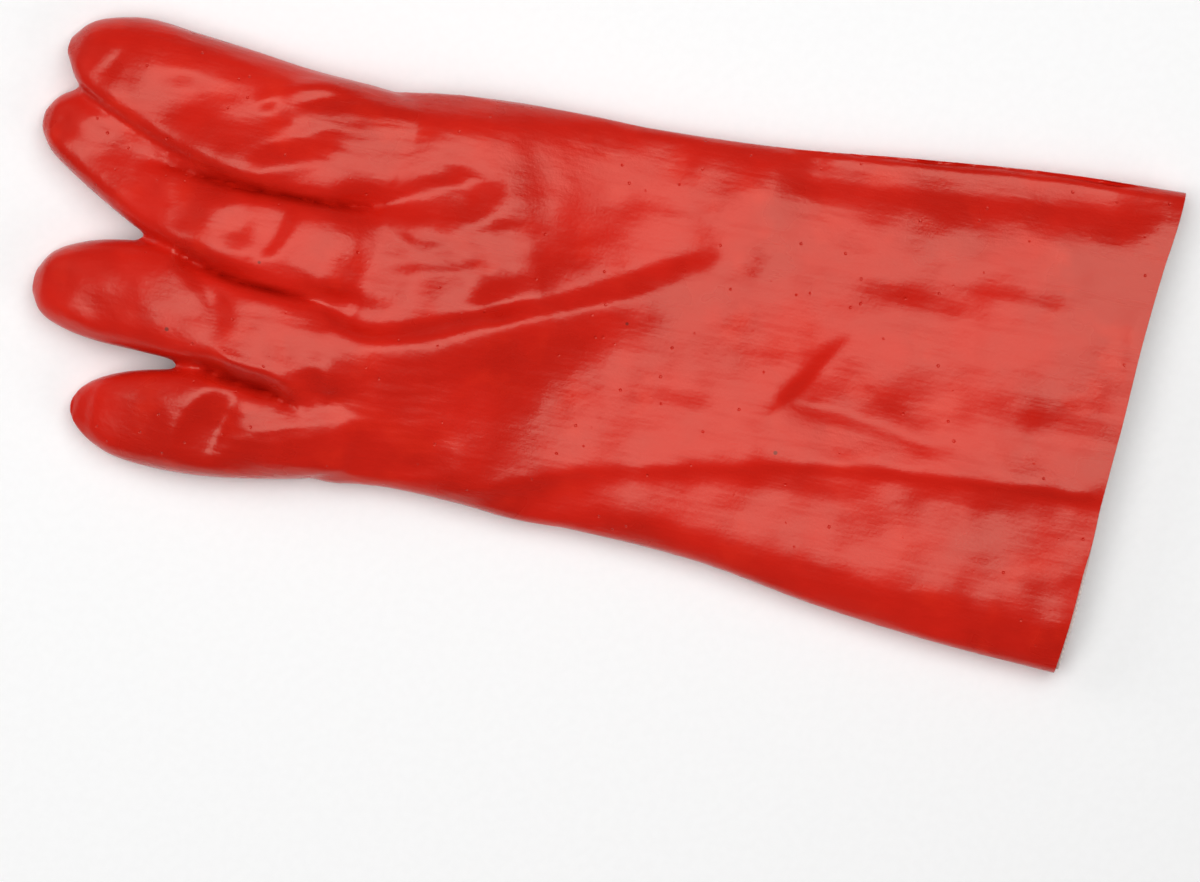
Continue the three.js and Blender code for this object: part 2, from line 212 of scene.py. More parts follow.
# Folds, a row each: rise and half width in mm, the lean, and the points that it runs through. A lean
# above 0 makes the flank wide and soft on the side of larger y, for a row that runs towards the
# fingers, and the other one sharp. Below 0 it is the other way round.
FOLDS = [
    # Index finger
    (0.6, 2.4, 0.3, [(322, 53), (300, 50.3), (285, 50)]),
    (-0.8, 2.6, 0.0, [(327, 56), (331, 49), (335, 42)]),
    (0.5, 2.4, 0.0, [(298, 57.5), (282, 57.5)]),
    (1.5, 3.0, 0.2, [(278, 48), (272, 54), (265, 57), (254, 57)]),
    (-1.6, 2.8, 0.0, [(275, 47), (268, 50), (262, 52), (252, 53)]),
    (0.9, 2.4, 0.0, [(285, 44), (281, 48), (276, 49)]),
    (-2.4, 4.4, 0.3, [(286, 28), (276, 33.5), (265, 39.5), (254, 44)]),
    (1.4, 4.0, -0.3, [(284, 23), (270, 29), (258, 33)]),
    # Between the index and middle fingers' roots
    (-5.0, 7.0, 0.3, [(256, 20), (242, 21.5), (229, 26), (216, 33), (202, 37)]),
    # Middle finger
    (-0.8, 2.4, 0.0, [(342, 34), (344, 22)]),
    (0.7, 2.6, -0.4, [(340, 34), (322, 29)]),
    (1.1, 3.2, 0.4, [(318, 16), (308, 19), (298, 21), (290, 20)]),
    (-1.1, 5.0, 0.0, [(306, 2), (292, 10)]),
    (-2.2, 3.4, 0.5, [(267, 21), (268, 12), (271, 3), (278, -4)]),
    # Knuckles
    (-2.2, 4.0, 0.4, [(244, 19), (235, 13), (226, 10), (218, 12), (210, 17)]),
    (-1.8, 4.5, 0.5, [(216, 14), (206, 20), (192, 25)]),
    (-1.9, 4.0, 0.5, [(238, 3), (225, 3), (212, 6), (200, 11)]),
    (1.6, 7.0, 0.0, [(226, -3), (210, 1), (198, 7), (184, 14)]),
    # Between the middle and ring fingers, running up over the back of the hand
    (1.3, 3.6, 0.0, [(264, 0), (256, -4), (249, -5), (242, -5), (235, -7), (226, -5)]),
    (-4.4, 5.6, -0.5, [(256, -9), (246, -13), (236, -15), (226, -12), (213, -7), (200, -1), (186, 5)]),
    (-3.2, 7.0, -0.6, [(206, -4), (190, 3), (174, 11), (160, 19), (147, 26), (132, 31)]),
    (2.2, 4.2, 0.3, [(254, -13), (246, -18), (238, -21), (228, -20), (216, -16), (202, -10),
                      (190, -5), (176, 1), (162, 7), (148, 14)]),
    # Ring finger
    (0.8, 2.6, -0.3, [(339, -22), (333, -29), (315, -34)]),
    (-3.2, 4.4, 0.0, [(303, -3), (289, -11), (282, -20), (280, -30)]),
    (3.4, 3.6, 0.3, [(284, -27), (280, -33), (273, -35.5), (262, -36), (253, -40), (247, -44)]),
    (-2.2, 3.0, 0.0, [(288, -37.5), (273, -41), (262, -41.5), (254, -46)]),
    (1.6, 3.0, 0.0, [(257, -34), (250, -30), (245, -32), (244, -38), (248, -43)]),
    # Little finger
    (-1.6, 3.0, 0.5, [(316, -48), (320, -58), (316, -68)]),
    (1.9, 3.8, 0.3, [(276, -40), (283, -46), (288, -54), (290, -62), (289, -70)]),
    (-2.4, 3.8, 0.3, [(272, -38), (274, -50), (277, -60), (280, -70)]),
    (1.9, 5.0, 0.4, [(274, -62), (264, -55), (252, -51), (238, -47), (226, -44)]),
    (0.9, 2.6, 0.3, [(265, -64), (240, -62), (225, -61.5), (210, -59), (200, -55)]),
    # The long fold along the little side
    (2.7, 6.0, -0.5, [(210, -63), (195, -58), (185, -54), (172, -48.5), (160, -44), (146, -41)]),
    (1.9, 4.2, -0.5, [(156, -43), (138, -39.5), (118, -34.5), (98, -31)]),
    (1.5, 2.6, -0.5, [(108, -32.5), (80, -28), (60, -26.5), (40, -24.5), (20, -23), (-4, -22)]),
    # Gauntlet
    (1.7, 8.0, 0.0, [(160, -55), (100, -60), (50, -62), (-8, -65)]),
    (0.8, 1.8, 0.0, [(118, 65), (90, 67), (60, 70.0), (30, 72.8), (-6, 74.0)]),
    (-3.4, 8.5, -0.2, [(122, 58), (90, 61), (60, 64), (30, 66.5), (0, 68.5)]),
    (-0.5, 3.4, 0.0, [(120, 47), (98, 47)]),
    (-2.4, 6.0, 0.9, [(110, -20), (103, -13), (97, -5), (92, 5), (86, 13)]),
    (-2.0, 4.2, -0.3, [(108, -12), (90, -11), (70, -14), (48, -18)]),
    (-0.4, 2.6, 0.0, [(1, 10), (2, 40)]),
]

# A fold's section and ends: how fast it falls off, how much wider the soft flank and how much narrower
# the sharp one gets, its width at the ends and what it gains towards the middle, its head start at the
# very ends, and how far from them it has its full height, in mm.
FALL_OFF = 0.62
SOFT_FLANK = 3.0
SHARP_FLANK = 0.45
END_WIDTH = 0.75
WIDTH_GAIN = 0.35
HEAD_START = 0.08
FOLD_END = 17.0

# Creases where one finger lies on the next, a row each: depth and half width in mm, and the points.
CREASES = [
    (4.6, 2.6, [(318, 24), (304, 21), (290, 19.5), (274, 19), (257, 19.5), (243, 21), (232, 25)]),
    (4.2, 2.4, [(302, -4), (286, -9), (266, -10.5), (250, -11)]),
    (4.0, 2.4, [(290, -37), (276, -40.5), (262, -41.5), (251, -46)]),
]

# How fast a crease and its dark line of painted shade come in from their ends, how wide that painted
# shade is in mm, and the height in metres above which it shows.
CREASE_ENDS = 4.0
SHADE_ENDS = 2.6
CREASE_SHADE = 1.5
SHADE_ABOVE = 0.005

# Dents and swellings, a row each: rise, middle, half length and half width, and the turn in degrees.
DENTS = [
    (1.7, (292, 53), 40, 8.5, 0),
    (2.2, (238, 51), 30, 9.5, 0),
    (1.6, (205, 53), 24, 10, 0),
    (-0.8, (308, 45), 9, 5, 0),
    (0.6, (291, 43.5), 7, 4, 0),
    (-2.2, (279, 42.5), 6.5, 4.6, 0),
    (-1.5, (318, 22), 17, 6, 12),
    (-0.8, (301.5, 17.5), 4.5, 3, 0),
    (-0.8, (311, 12.5), 7, 3, 20),
    (-2.0, (281, 7), 6.5, 4.6, 65),
    (0.8, (229, 18.5), 8, 3.5, 0),
    (0.8, (273, -13), 11, 4, 0),
    (-1.2, (319, -27), 19, 7, 0),
    (-0.6, (69, -29), 9, 2.5, 0),
    (-0.6, (16, -26), 14, 2.5, 0),
    (-1.9, (100, -41), 22, 7.0, 0),
    (-1.1, (40, -34), 30, 6.0, 0),
    (-1.9, (66, 23), 24, 6, 5),
    (-0.6, (72, 22), 12, 4, 5),
    (-0.9, (112, -2), 9, 6, 0),
    (-1.1, (136, -21), 13, 4.5, 0),
    (-1.5, (22, -6), 22, 6, 0),
    (-0.9, (117, 25), 9, 4.5, 30),
    (-0.8, (92, 42), 9, 3.5, 30),
    (-0.9, (40, 32), 16, 3.5, 0),
    (-0.8, (150, 36), 14, 4, 0),
    (-0.6, (194, 49), 10, 7, 0),
    (-0.5, (189, 38), 6, 5, 0),
]

# How fast a dent falls off, and how much wider a hollow one is on its little side.
DENT_FALL = 1.2
DENT_DRAG = 2.2

# The soft unevenness, a wave each: height and length in mm, the turn in degrees, and its start.
WAVES = [
    (0.26, 61, 17, 0.4),
    (0.22, 47, -34, 1.9),
    (0.17, 33, 71, 3.1),
    (0.13, 26, -62, 5.0),
    (0.09, 19, 8, 2.2),
    (0.07, 15, 49, 0.9),
    (0.05, 11, -21, 4.1),
    (0.03, 8, 83, 1.3),
]

# How far a wave is bent by the slower one across it, and how many turns to a length that one makes.
WAVE_BEND = 0.9
WAVE_ACROSS = 2.3

# The cuff's cut edge, from the little side to the index side: y, how far it runs past the straight
# slanted line, and how far the lower layer runs past the upper one.
CUFF_EDGE = np.array([
    [-90, 0.8, 1.0],
    [-79, 0.8, 1.1],
    [-62, 1.2, 1.3],
    [-46, 0.9, 0.9],
    [-36, 1.0, 0.2],
    [-25, 0.4, 0.9],
    [-16, 0.2, 0.2],
    [0, 0.0, 0.1],
    [25, -0.8, 0.1],
    [50, -0.6, 0.2],
    [66, 0.2, 0.3],
    [90, 0.3, 0.3],
])

# The height in mm at which the cut edge is the upper layer's. At 0 it is the lower layer's.
CUFF_HEIGHT = 18.0

# The block that cuts the cuff: how far it reaches to each side and outwards, its lowest and highest z,
# and how many points follow the edge.
CUTTER_SIDE = 95.0
CUTTER_BACK = -40.0
CUTTER_LOW = -4.0
CUTTER_TOP = 24.0
CUTTER_POINTS = 77

# The lining, in mm: its gap to the coating, how high it starts to follow the folds and over what height
# it does so, how far it stands out of the cut edge, how much more on the little side, where that part
# starts, and over what distance both changes run.
LINING_GAP = 0.12
LINING_FOLDS = (6.0, 6.0)
LINING_PROUD = 0.2
LINING_MORE = 0.7
LINING_MORE_FROM = -36.0
LINING_FADE = 12.0

# The stage, in metres and watts: half the floor's side, the point under the camera, the sensor's width
# in millimetres, how far the camera sees, the strength of the white surroundings, and the lights, each
# with its place, what it is aimed at, its size and its power.
FLOOR_HALF = 3.0
CAMERA_AIM = (0.0136, -0.0349, 0.012)
SENSOR_WIDTH = 36.0
CAMERA_REACH = 20.0
SURROUNDINGS = 0.12
LIGHTS = [
    ("overhead", (-0.08, 0.12, 1.12), (-0.06, 0.10, 0.0), (1.75, 0.72), 13.0),
    ("left_fill", (-1.7, 0.5, 1.0), (0.0, 0.0, 0.0), (1.0, 1.0), 7.0),
    ("right_fill", (1.7, -0.6, 1.0), (0.0, 0.0, 0.0), (1.0, 1.0), 7.0),
]

# The one light that shows in the gloss.
GLOSSY_LIGHT = "overhead"


def step01(value):
    """Smoothstep: 0 below 0, 1 above 1, and 3t squared less 2t cubed between them."""
    t = np.clip(value, 0.0, 1.0)
    return t * t * (3.0 - 2.0 * t)


def smooth_column(rows, column, at):
    """Cubic Hermite curve through one column of a table. Each slope is the rise between the rows on
    both sides over their distance."""
    knots, values = rows[:, 0], rows[:, column]
    at = np.asarray(at, float)
    last = len(knots) - 1
    i = np.clip(np.searchsorted(knots, at, side="left") - 1, 0, last - 1)
    before, after = np.maximum(i - 1, 0), np.minimum(i + 2, last)
    gap = knots[i + 1] - knots[i]
    t = np.clip((at - knots[i]) / gap, 0.0, 1.0)
    slope0 = (values[i + 1] - values[before]) / np.maximum(knots[i + 1] - knots[before], gap) * gap
    slope1 = (values[after] - values[i]) / np.maximum(knots[after] - knots[i], gap) * gap
    t2, t3 = t * t, t * t * t
    return (values[i] * (2 * t3 - 3 * t2 + 1) + slope0 * (t3 - 2 * t2 + t)
            + values[i + 1] * (3 * t2 - 2 * t3) + slope1 * (t3 - t2))


def line_distance(x, y, points):
    """Distance from each point to a line through chosen points: the least distance to any stretch,
    where the foot of each stretch is held between its ends. Also gives the share of the way along,
    and the distance with a sign: above 0 on the left of the line, with x to the right and y up."""
    points = np.asarray(points, float)
    spans = np.diff(points, axis=0)
    lengths = np.hypot(spans[:, 0], spans[:, 1])
    ways = np.concatenate([[0.0], np.cumsum(lengths)])
    best = np.full(np.shape(x), np.inf)
    along, side = np.zeros(np.shape(x)), np.zeros(np.shape(x))
    for (px, py), (sx, sy), length, way in zip(points[:-1], spans, lengths, ways):
        t = np.clip(((x - px) * sx + (y - py) * sy) / length ** 2, 0.0, 1.0)
        distance = np.hypot(x - px - t * sx, y - py - t * sy)
        nearer = distance < best
        along = np.where(nearer, (way + t * length) / ways[-1], along)
        side = np.where(nearer, (sx * (y - py) - sy * (x - px)) / length, side)
        best = np.where(nearer, distance, best)
    return best, along, side


def from_end(along):
    """The share of the way from the nearer end of a line: 0 at both ends and a half in the middle."""
    return np.minimum(along, 1.0 - along)


def rounded(points):
    """The chosen points with their corners cut twice, each time at a quarter and three quarters of
    each stretch. The two ends stay."""
    points = np.asarray(points, float)
    if len(points) < 3:
        return points
    for _ in range(2):
        a, b = points[:-1], points[1:]
        cut = np.stack([a * 0.75 + b * 0.25, a * 0.25 + b * 0.75], axis=1).reshape(-1, 2)
        points = np.vstack([points[:1], cut[1:-1], points[-1:]])
    return points


def relief(x, y):
    """Height of folds, creases and dents. Each fold adds its rise over the square of one plus the fall
    off times the square of the distance over its half width. Its half width is larger on the flank that
    it leans to and smaller on the other, and it swells in the middle and dies away towards both ends.
    Each crease takes off its depth times e to minus the distance over its half width, so its bottom is
    sharp. Each dent or swelling adds its rise times e to minus the square of the distance in its own
    turned ellipse, and a dent's ellipse is wider on its little side."""
    height = np.zeros(np.shape(x))
    for rise, half, lean, points in FOLDS:
        points = rounded(points)
        length = np.hypot(*np.diff(points, axis=0).T).sum()
        distance, along, side = line_distance(x, y, points)
        fade = step01(from_end(along) * length / min(0.5 * length, FOLD_END) + HEAD_START)
        tilt = side / np.maximum(distance, 1e-6) * lean
        flank = 1.0 + np.where(tilt > 0, SOFT_FLANK, SHARP_FLANK) * tilt
        width = half * (END_WIDTH + WIDTH_GAIN * fade) * flank
        height += rise * fade / (1.0 + FALL_OFF * (distance / width) ** 2) ** 2
    for depth, half, points in CREASES:
        distance, along, _ = line_distance(x, y, rounded(points))
        height -= depth * step01(CREASE_ENDS * from_end(along) + HEAD_START) * np.exp(-distance / half)
    for rise, (px, py), half_length, half_width, turn in DENTS:
        c, s = math.cos(math.radians(turn)), math.sin(math.radians(turn))
        u, v = (x - px) * c + (y - py) * s, (y - py) * c - (x - px) * s
        little_side = half_width * (DENT_DRAG if rise < 0 else 1.0)
        v = v / np.where(v > 0, half_width, little_side)
        height += rise * np.exp(-DENT_FALL * ((u / half_length) ** 2 + v ** 2))
    return height


def waviness(x, y):
    """Soft unevenness, low enough to show only in the gloss: a sum of sine waves, each bent by a
    slower sine across it."""
    height = np.zeros(np.shape(x))
    for size, length, turn, phase in WAVES:
        a = math.radians(turn)
        u = x * math.cos(a) + y * math.sin(a)
        v = y * math.cos(a) - x * math.sin(a)
        bend = WAVE_BEND * np.sin(v / length * WAVE_ACROSS + phase)
        height += size * np.sin(2 * math.pi * u / length + phase + bend)
    return height


def thumb_point(distance, side):
    """A point of the plan at a distance along the thumb's middle line and a distance to its side."""
    c, s = math.cos(THUMB_ANGLE), math.sin(THUMB_ANGLE)
    return THUMB_ROOT[0] + distance * c + side * s, THUMB_ROOT[1] - distance * s + side * c


def prop(x, y):
    """How far the thumb props the hand up: its rise near its middle line, falling smoothly to nothing
    over the fade."""
    ends = [thumb_point(share * THUMB_LENGTH, 0.0) for share in (PROP_START, PROP_END)]
    distance = line_distance(x, y, ends)[0]
    return PROP_RISE * step01(1.0 - (distance - PROP_HALF * THUMB_WIDTH) / PROP_FADE)


def fullness(share, squareness):
    """One less the share to a power, to the power of the rounding: 1 in the middle, 0 at the sides."""
    return np.maximum(1.0 - np.abs(share) ** squareness, 0.0) ** ROUND_OFF


def tube_grid(place, near, far, height, raised, inset, draped, square, points):
    """A flattened tube: each row is a ring whose points go over the top and back underneath. The share
    across is minus the cosine of the turn, the upper side stands on the edge height by its fullness,
    and the under side is flat where it lies on the floor. The near side is raised in full and the far
    side not at all. Inset moves the wall inwards, and a draped tube lies over the thumb."""
    over, under = points
    turn = np.concatenate([np.linspace(0, math.pi, over + 1), np.linspace(math.pi, 0, under + 1)[1:-1]])
    upper = np.arange(len(turn)) <= over
    share = -np.cos(turn)
    near, far, height, raised = (np.asarray(v, float)[:, None] for v in (near, far, height, raised))
    x, y = place((near + far) / 2 + share * ((far - near) / 2 - inset))
    edge = SIDE_SHARE * height
    wall = inset * fullness(share, SQUARE_UNDER)
    crown = edge + (height - edge) * fullness(share, square) - wall
    belly = np.maximum(edge - edge * UNDER_FLAT * fullness(share, SQUARE_UNDER) + wall, wall)
    z = np.where(upper, crown, belly) + raised * (1.0 - share) / 2
    if draped:
        z = z + prop(x, y)
    return np.stack(np.broadcast_arrays(x, y, z), axis=-1)


def cuff_line(y):
    """The straight slanted line of the cuff, as a distance from the cuff's middle."""
    return -CUFF_SLANT / (CUFF_WIDTH / 2) * y


def body_grid(start, end, inset, step):
    """The gauntlet and palm as rings from start to end, in mm from the cuff. The slant of the cuff dies
    out at the wrist."""
    along = np.linspace(start, end, int(round((end - start) / step)) + 1)[:, None]
    at = np.where(along <= GAUNTLET_LENGTH, along / GAUNTLET_LENGTH,
                  1 + (along - GAUNTLET_LENGTH) / PALM_LENGTH)[:, 0]
    held = np.clip(at, 0.0, BODY[-1, 0])
    index, little, flare, over = (smooth_column(BODY, c, held) for c in (1, 2, 3, 4))
    local = GAUNTLET_HEIGHT + (PALM_HEIGHT - GAUNTLET_HEIGHT) * np.clip(at, 0, 1)
    slant = np.maximum(1 - at, 0)[:, None]

    def place(y):
        return along + slant * cuff_line(y), y

    return tube_grid(place, little * HALF_HAND - flare * CUFF_FLARE, index * HALF_HAND + flare * CUFF_FLARE,
                     over * local, np.zeros(len(at)), inset, True, SQUARE_OVER, BODY_POINTS)


def towards_tip(start):
    """Shares of a finger's length from start to 1, crowded towards its rounded tip."""
    return 1 + (start - 1) * (1 - np.linspace(0, 1, TIP_RINGS)) ** TIP_CROWDING


def finger_grid(name):
    """A finger as rings from inside the palm to its tip."""
    length, roll, rows = FINGERS[name]
    at = towards_tip(rows[0, 0])
    far, near, over = (smooth_column(rows, c, at) for c in (1, 2, 3))
    along = (GAUNTLET_LENGTH + PALM_LENGTH + at * length)[:, None]
    raised = roll * FINGER_HEIGHT * np.clip(at / ROLL_START, 0, 1)
    return tube_grid(lambda y: (along + 0 * y, y), near * HALF_HAND, far * HALF_HAND,
                     over * FINGER_HEIGHT, raised, 0.0, True, SQUARE_FINGER, FINGER_POINTS)


def thumb_grid():
    """The thumb as rings from inside the palm to its tip, pressed up into the palm that lies on it."""
    at = towards_tip(0.0)
    half, over = (smooth_column(THUMB, c, at) for c in (1, 2))
    distance = (at * THUMB_LENGTH)[:, None]
    return tube_grid(lambda side: thumb_point(distance, side), -half * THUMB_WIDTH, half * THUMB_WIDTH,
                     over * (THUMB_HEIGHT + THUMB_PRESS), np.zeros(TIP_RINGS), 0.0, False, SQUARE_OVER,
                     THUMB_POINTS)


def to_frame(points):
    """From the tables' millimetres to the frame's metres. The direction towards the fingers is -X."""
    points = np.asarray(points, float).reshape(-1, 3)
    return np.stack([CUFF_X - points[:, 0], points[:, 1] + SIDE_Y, points[:, 2]], axis=1) * MM


def on_plan(points):
    """The tables' x and y of points in the frame."""
    return CUFF_X - points[:, 0] / MM, points[:, 1] / MM - SIDE_Y


def grid_faces(rows, columns, start=0, closed_rows=False):
    """Quads of a grid whose columns close on themselves, turned so that they face outwards."""
    r = np.arange(rows if closed_rows else rows - 1)[:, None]
    c = np.arange(columns)[None, :]
    r1, c1 = (r + 1) % rows, (c + 1) % columns
    quads = np.stack([r * columns + c, r * columns + c1, r1 * columns + c1, r1 * columns + c], axis=-1)
    return (quads.reshape(-1, 4) + start).tolist()


def new_mesh(name, vertices, faces):
    """A mesh of rows of vertices and lists of corner numbers."""
    mesh = bpy.data.meshes.new(name)
    mesh.from_pydata(vertices.tolist(), [], faces)
    mesh.update()
    return mesh


def closed_tubes(name, grids):
    """One mesh of several closed tubes, each with a flat face at both ends."""
    vertices, faces, start = [], [], 0
    for grid in grids:
        rows, columns = grid.shape[:2]
        vertices.append(to_frame(grid))
        faces += grid_faces(rows, columns, start)
        faces.append([start + i for i in reversed(range(columns))])
        faces.append([start + (rows - 1) * columns + i for i in range(columns)])
        start += rows * columns
    return new_mesh(name, np.vstack(vertices), faces)


def new_object(name, mesh):
    """A mesh's object, linked to the scene."""
    piece = bpy.data.objects.new(name, mesh)
    bpy.context.scene.collection.objects.link(piece)
    return piece


def settle(piece):
    """Puts the result of a piece's modifiers into its mesh."""
    mesh = bpy.data.meshes.new_from_object(piece.evaluated_get(bpy.context.evaluated_depsgraph_get()))
    piece.modifiers.clear()
    old, piece.data = piece.data, mesh
    bpy.data.meshes.remove(old)


def remesh(piece, size):
    """One even skin over the joined tubes."""
    modifier = piece.modifiers.new("Skin", "REMESH")
    modifier.mode = "VOXEL"
    modifier.voxel_size = size
    modifier.use_smooth_shade = True
    settle(piece)


def read_rows(collection, field, width, kind=float):
    """One field of a mesh's vertices, edges or normals as an array, a row each."""
    values = np.empty(len(collection) * width, kind)
    collection.foreach_get(field, values)
    return values.reshape(-1, width)


def vertex_array(mesh):
    """The places of a mesh's vertices."""
    return read_rows(mesh.vertices, "co", 3)


def edge_array(mesh):
    """The two vertex numbers of each of a mesh's edges."""
    return read_rows(mesh.edges, "vertices", 2, np.int32)


def put_vertices(mesh, points):
    """Moves a mesh's vertices to the points."""
    mesh.vertices.foreach_set("co", np.ascontiguousarray(points, float).ravel())
    mesh.update()


def facing_up(mesh, facing):
    """How far each vertex counts as facing up: the smoothstep of its normal's z, from the z where that
    starts and over the width given."""
    start, width = facing
    return step01((read_rows(mesh.vertex_normals, "vector", 3)[:, 2] - start) / width)


def largest_part(mesh):
    """Deletes all but the largest connected part. Each vertex takes the least number that its
    neighbours hold, until none changes."""
    edges, count = edge_array(mesh), len(mesh.vertices)
    label = np.arange(count)
    while True:
        low = np.minimum(label[edges[:, 0]], label[edges[:, 1]])
        new = label.copy()
        np.minimum.at(new, edges[:, 0], low)
        np.minimum.at(new, edges[:, 1], low)
        new = new[new]
        if np.array_equal(new, label):
            break
        label = new
    names, sizes = np.unique(label, return_counts=True)
    if len(names) == 1:
        return
    keep = label == names[np.argmax(sizes)]
    points = vertex_array(mesh)
    renumber = np.cumsum(keep) - 1
    faces = [[int(renumber[v]) for v in f.vertices] for f in mesh.polygons if keep[f.vertices[0]]]
    mesh.clear_geometry()
    mesh.from_pydata(points[keep].tolist(), [], faces)
    mesh.update()


def neighbour_mean(values, edges):
    """The mean of each vertex's neighbours: the sum of their values over how many they are."""
    count = len(values)
    total = (np.bincount(edges[:, 0], values[edges[:, 1]], count)
             + np.bincount(edges[:, 1], values[edges[:, 0]], count))
    return total / np.bincount(edges.ravel(), minlength=count)


def soften(mesh, times, strength):
    """Each vertex moves by a share of the way to the mean of its neighbours, and a little more than
    that back again in the next pass, which takes off the voxels' steps and keeps the volume."""
    points, edges = vertex_array(mesh), edge_array(mesh)
    for turn in range(times):
        share = strength if turn % 2 == 0 else -strength * TAKEN_BACK
        mean = np.stack([neighbour_mean(points[:, axis], edges) for axis in range(3)], axis=1)
        points = points + share * (mean - points)
    put_vertices(mesh, points)


def blend_roots(mesh):
    """Evens out the seams where the fingers' tubes leave the palm: in a band across the finger roots
    the height of the upward-facing skin moves half way to its neighbours' mean, many times over."""
    points, edges = vertex_array(mesh), edge_array(mesh)
    x, _ = on_plan(points)
    weight = step01((x - ROOT_BAND[0]) / ROOT_EDGE) * step01((ROOT_BAND[1] - x) / ROOT_EDGE)
    weight = 0.5 * weight * facing_up(mesh, ROOT_FACING)
    z = points[:, 2]
    for _ in range(ROOT_PASSES):
        z = z + weight * (neighbour_mean(z, edges) - z)
    points[:, 2] = z
    put_vertices(mesh, points)


def fold_surface(mesh):
    """Moves the upward-facing skin by the folds, dents and unevenness, in full where it faces up and
    not at all where it faces sideways or down."""
    points = vertex_array(mesh)
    x, y = on_plan(points)
    points[:, 2] += facing_up(mesh, FOLD_FACING) * (relief(x, y) + waviness(x, y)) * MM
    put_vertices(mesh, points)


def mark_creases(mesh):
    """Gives each vertex its share of painted crease shade: e to minus the square of the distance to the
    nearest crease over the dark line's width. The material's colour is darkened by it, painted shade where
    two fingers press together, and its gloss is duller by it."""
    points = vertex_array(mesh)
    x, y = on_plan(points)
    share = np.zeros(len(points))
    for _, _, row in CREASES:
        distance, along, _ = line_distance(x, y, rounded(row))
        ends = step01(SHADE_ENDS * from_end(along))
        share = np.maximum(share, ends * np.exp(-(distance / CREASE_SHADE) ** 2))
    share *= points[:, 2] > SHADE_ABOVE
    mesh.attributes.new("painted_crease_shade", "FLOAT", "POINT").data.foreach_set("value", share)


def set_down(mesh):
    """Flattens what the smoothing pushed below the floor."""
    points = vertex_array(mesh)
    points[:, 2] = np.maximum(points[:, 2], 0.0)
    put_vertices(mesh, points)


def cuff_cutter():
    """A block that lies past the cuff's cut edge. Its inner side follows the edge, and leans so that
    the lower layer runs a little past the upper one."""
    y = np.linspace(-CUTTER_SIDE, CUTTER_SIDE, CUTTER_POINTS)
    upper = cuff_line(y) - smooth_column(CUFF_EDGE, 1, y)
    lower = upper - smooth_column(CUFF_EDGE, 2, y)

    def corner(x, z):
        return np.stack([np.broadcast_to(x, y.shape), y, np.full_like(y, z)], axis=1)

    low, top = (lower + (upper - lower) * z / CUFF_HEIGHT for z in (CUTTER_LOW, CUTTER_TOP))
    grid = np.stack([corner(low, CUTTER_LOW), corner(top, CUTTER_TOP),
                     corner(CUTTER_BACK, CUTTER_TOP), corner(CUTTER_BACK, CUTTER_LOW)], axis=1)
    return new_object("cutter", closed_tubes("cutter", [grid]))


def cut_away(piece, tool):
    """Subtracts a closed tool from a closed piece, and removes the tool."""
    modifier = piece.modifiers.new("Cut", "BOOLEAN")
    modifier.operation = "DIFFERENCE"
    modifier.solver = "MANIFOLD"
    modifier.object = tool
    settle(piece)
    mesh = tool.data
    bpy.data.objects.remove(tool)
    bpy.data.meshes.remove(mesh)


def shade_smooth(mesh):
    """Smooth faces, with an edge kept sharp where the skin turns by more than the sharp angle."""
    mesh.shade_smooth()
    mesh.set_sharp_from_angle(angle=SHARP_ANGLE)


def lining_wall(inset, depth):
    """One side of the lining, a sleeve inside the coating. Its upper side follows the folds where it
    lies high, and near the cuff it moves outwards to the cut edge and stands a little out of it, by
    more towards the little side."""
    grid = body_grid(0.0, depth, inset, LINING_STEP)
    x, y, z = grid[..., 0], grid[..., 1], grid[..., 2]
    upper = np.arange(grid.shape[1]) <= BODY_POINTS[0]
    start, over = LINING_FOLDS
    z += (relief(x, y) + waviness(x, y)) * upper * step01((z - start) / over)
    past = smooth_column(CUFF_EDGE, 1, y) + smooth_column(CUFF_EDGE, 2, y) * (1 - z / CUFF_HEIGHT)
    past += LINING_PROUD + LINING_MORE * step01((LINING_MORE_FROM - y) / LINING_FADE)
    x -= past * step01(1.0 - (x - cuff_line(y)) / LINING_FADE)
    return grid


def tinted(base, share=1.0):
    """A colour times a share, with a fourth number for the material's socket."""
    return tuple(c * share for c in base[:3]) + (1.0,)


